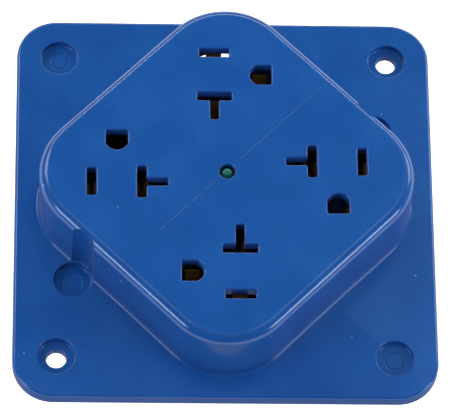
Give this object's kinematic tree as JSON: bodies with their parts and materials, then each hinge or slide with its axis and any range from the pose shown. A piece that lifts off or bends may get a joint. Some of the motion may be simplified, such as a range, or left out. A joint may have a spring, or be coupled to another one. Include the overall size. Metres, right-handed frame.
{
  "type": "surge suppressor receptacle",
  "caption": "Square blue cover plate with a raised diamond dome of grounded power outlets round a pilot lamp, with a surge board and screw terminals behind.",
  "frame": {"origin": "centre of the rear housing's flat back, under the middle of the dome", "axes": "+Z out of the face; X and Y along the square plate's sides, with the open screw holes at +X +Y and -X -Y"},
  "size_m": [0.108, 0.108, 0.0476],
  "materials": {
    "blue_plastic": "glossy moulded blue",
    "dark_plastic": "satin moulded charcoal",
    "brown_plastic": "satin dark brown",
    "brass": "stamped and rolled",
    "brass_screw": "turned and slotted",
    "nickel": "nickel plated",
    "steel": "zinc plated",
    "green_screw": "green dyed zinc",
    "green_lens": "clear green",
    "laminate": "solder mask green",
    "varistor_coat": "dipped epoxy",
    "fuse_coat": "plain can",
    "resistor_coat": "tan enamel",
    "diode_coat": "black moulded"
  },
  "bodies": {
    "housing": {"front_housing": "blue_plastic", "rear_housing": "dark_plastic", "contact_carrier": "brown_plastic", "hot_bus": "brass", "neutral_bus": "brass", "ground_bus": "brass", "light_pipe": "green_lens", "surge_board": "laminate", "mov_line_neutral": "varistor_coat", "mov_line_ground": "varistor_coat", "mov_neutral_ground": "varistor_coat", "thermal_fuse_line": "fuse_coat", "thermal_fuse_ground": "fuse_coat", "led_resistor": "resistor_coat", "led_diode": "diode_coat", "pilot_led": "green_lens", "board_screw_1": "steel", "board_screw_2": "steel", "hot_contact_top": "brass", "neutral_contact_top": "brass", "ground_contact_top": "brass", "case_screw_top": "steel", "hot_contact_right": "brass", "neutral_contact_right": "brass", "ground_contact_right": "brass", "case_screw_right": "steel", "hot_contact_bottom": "brass", "neutral_contact_bottom": "brass", "ground_contact_bottom": "brass", "case_screw_bottom": "steel", "hot_contact_left": "brass", "neutral_contact_left": "brass", "ground_contact_left": "brass", "case_screw_left": "steel"},
    "hot_clamp_1_body": {"hot_clamp_1": "steel"},
    "hot_screw_1_body": {"hot_screw_1": "brass_screw"},
    "hot_clamp_2_body": {"hot_clamp_2": "steel"},
    "hot_screw_2_body": {"hot_screw_2": "brass_screw"},
    "neutral_clamp_1_body": {"neutral_clamp_1": "steel"},
    "neutral_screw_1_body": {"neutral_screw_1": "nickel"},
    "neutral_clamp_2_body": {"neutral_clamp_2": "steel"},
    "neutral_screw_2_body": {"neutral_screw_2": "nickel"},
    "ground_clamp_body": {"ground_clamp": "steel"},
    "ground_screw_body": {"ground_screw": "green_screw"}
  },
  "joints": [
    {"name": "hot_clamp_1_slide", "type": "slide", "parent": "housing", "child": "hot_clamp_1_body", "axis": [0.7071, 0.7071, 0], "range_m": [0, 0.00277]},
    {"name": "hot_screw_1_turn", "type": "hinge", "parent": "hot_clamp_1_body", "child": "hot_screw_1_body", "pos_m": [0.02468, 0.01775, 0.012], "axis": [0.7071, 0.7071, 0], "range_deg": [0, 1260]},
    {"name": "hot_clamp_2_slide", "type": "slide", "parent": "housing", "child": "hot_clamp_2_body", "axis": [0.7071, 0.7071, 0], "range_m": [0, 0.00277]},
    {"name": "hot_screw_2_turn", "type": "hinge", "parent": "hot_clamp_2_body", "child": "hot_screw_2_body", "pos_m": [0.01775, 0.02468, 0.012], "axis": [0.7071, 0.7071, 0], "range_deg": [0, 1260]},
    {"name": "neutral_clamp_1_slide", "type": "slide", "parent": "housing", "child": "neutral_clamp_1_body", "axis": [-0.7071, -0.7071, 0], "range_m": [0, 0.00277]},
    {"name": "neutral_screw_1_turn", "type": "hinge", "parent": "neutral_clamp_1_body", "child": "neutral_screw_1_body", "pos_m": [-0.02468, -0.01775, 0.012], "axis": [-0.7071, -0.7071, 0], "range_deg": [0, 1260]},
    {"name": "neutral_clamp_2_slide", "type": "slide", "parent": "housing", "child": "neutral_clamp_2_body", "axis": [-0.7071, -0.7071, 0], "range_m": [0, 0.00277]},
    {"name": "neutral_screw_2_turn", "type": "hinge", "parent": "neutral_clamp_2_body", "child": "neutral_screw_2_body", "pos_m": [-0.01775, -0.02468, 0.012], "axis": [-0.7071, -0.7071, 0], "range_deg": [0, 1260]},
    {"name": "ground_clamp_slide", "type": "slide", "parent": "housing", "child": "ground_clamp_body", "axis": [0.7071, -0.7071, 0], "range_m": [0, 0.00277]},
    {"name": "ground_screw_turn", "type": "hinge", "parent": "ground_clamp_body", "child": "ground_screw_body", "pos_m": [0.02121, -0.02121, 0.012], "axis": [0.7071, -0.7071, 0], "range_deg": [0, 1260]}
  ],
  "couplings": [
    {"joint": "hot_screw_1_turn", "follows": "hot_clamp_1_slide", "rad_per_m": 7915.8},
    {"joint": "hot_screw_2_turn", "follows": "hot_clamp_2_slide", "rad_per_m": 7915.8},
    {"joint": "neutral_screw_1_turn", "follows": "neutral_clamp_1_slide", "rad_per_m": 7915.8},
    {"joint": "neutral_screw_2_turn", "follows": "neutral_clamp_2_slide", "rad_per_m": 7915.8},
    {"joint": "ground_screw_turn", "follows": "ground_clamp_slide", "rad_per_m": 7915.8}
  ]
}
